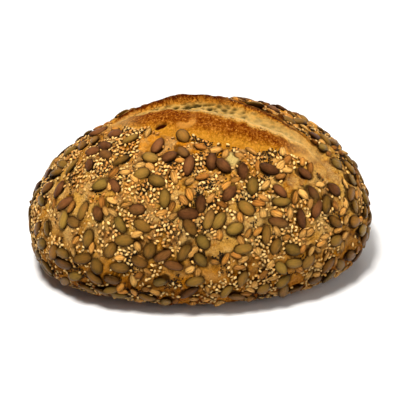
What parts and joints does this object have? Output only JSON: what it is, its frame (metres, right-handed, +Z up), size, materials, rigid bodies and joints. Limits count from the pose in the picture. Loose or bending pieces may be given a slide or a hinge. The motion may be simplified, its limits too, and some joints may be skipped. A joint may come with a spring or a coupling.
{
  "type": "seeded sourdough loaf",
  "caption": "Oval seeded sourdough loaf with a long open slash along its crown, a raised ear, a flat base, and a crust covered in pumpkin, sunflower, sesame and poppy seeds.",
  "frame": {"origin": "middle of the flat base that the loaf rests on, under the middle of its length and width", "axes": "+X along the loaf towards its fuller end, +Y towards the back, behind the raised lip of the slash, +Z up"},
  "size_m": [0.2469, 0.1642, 0.1229],
  "materials": {
    "crust": "matte",
    "pumpkin_seed": "satin",
    "sunflower_kernel": "matte",
    "sesame_seed": "satin",
    "poppy_seed": "matte"
  },
  "bodies": {
    "root": {"loaf": "crust", "pumpkin_seed_01": "pumpkin_seed", "pumpkin_seed_02": "pumpkin_seed", "pumpkin_seed_03": "pumpkin_seed", "pumpkin_seed_04": "pumpkin_seed", "pumpkin_seed_05": "pumpkin_seed", "pumpkin_seed_06": "pumpkin_seed", "pumpkin_seed_07": "pumpkin_seed", "pumpkin_seed_08": "pumpkin_seed", "pumpkin_seed_09": "pumpkin_seed", "pumpkin_seed_10": "pumpkin_seed", "pumpkin_seed_11": "pumpkin_seed", "pumpkin_seed_12": "pumpkin_seed", "pumpkin_seed_13": "pumpkin_seed", "pumpkin_seed_14": "pumpkin_seed", "pumpkin_seed_15": "pumpkin_seed", "pumpkin_seed_16": "pumpkin_seed", "pumpkin_seed_17": "pumpkin_seed", "pumpkin_seed_18": "pumpkin_seed", "pumpkin_seed_19": "pumpkin_seed", "pumpkin_seed_20": "pumpkin_seed", "pumpkin_seed_21": "pumpkin_seed", "pumpkin_seed_22": "pumpkin_seed", "pumpkin_seed_23": "pumpkin_seed", "pumpkin_seed_24": "pumpkin_seed", "pumpkin_seed_25": "pumpkin_seed", "pumpkin_seed_26": "pumpkin_seed", "pumpkin_seed_27": "pumpkin_seed", "pumpkin_seed_28": "pumpkin_seed", "pumpkin_seed_29": "pumpkin_seed", "pumpkin_seed_30": "pumpkin_seed", "pumpkin_seed_31": "pumpkin_seed", "pumpkin_seed_32": "pumpkin_seed", "pumpkin_seed_33": "pumpkin_seed", "pumpkin_seed_34": "pumpkin_seed", "pumpkin_seed_35": "pumpkin_seed", "pumpkin_seed_36": "pumpkin_seed", "pumpkin_seed_37": "pumpkin_seed", "pumpkin_seed_38": "pumpkin_seed", "pumpkin_seed_39": "pumpkin_seed", "pumpkin_seed_40": "pumpkin_seed", "pumpkin_seed_41": "pumpkin_seed", "pumpkin_seed_42": "pumpkin_seed", "sunflower_kernel_01": "sunflower_kernel", "sunflower_kernel_02": "sunflower_kernel", "sunflower_kernel_03": "sunflower_kernel", "sunflower_kernel_04": "sunflower_kernel", "sunflower_kernel_05": "sunflower_kernel", "sunflower_kernel_06": "sunflower_kernel", "sunflower_kernel_07": "sunflower_kernel", "sunflower_kernel_08": "sunflower_kernel", "sunflower_kernel_09": "sunflower_kernel", "sunflower_kernel_10": "sunflower_kernel", "sunflower_kernel_11": "sunflower_kernel", "sunflower_kernel_12": "sunflower_kernel", "sunflower_kernel_13": "sunflower_kernel", "sunflower_kernel_14": "sunflower_kernel", "sunflower_kernel_15": "sunflower_kernel", "sunflower_kernel_16": "sunflower_kernel"}
  },
  "joints": []
}
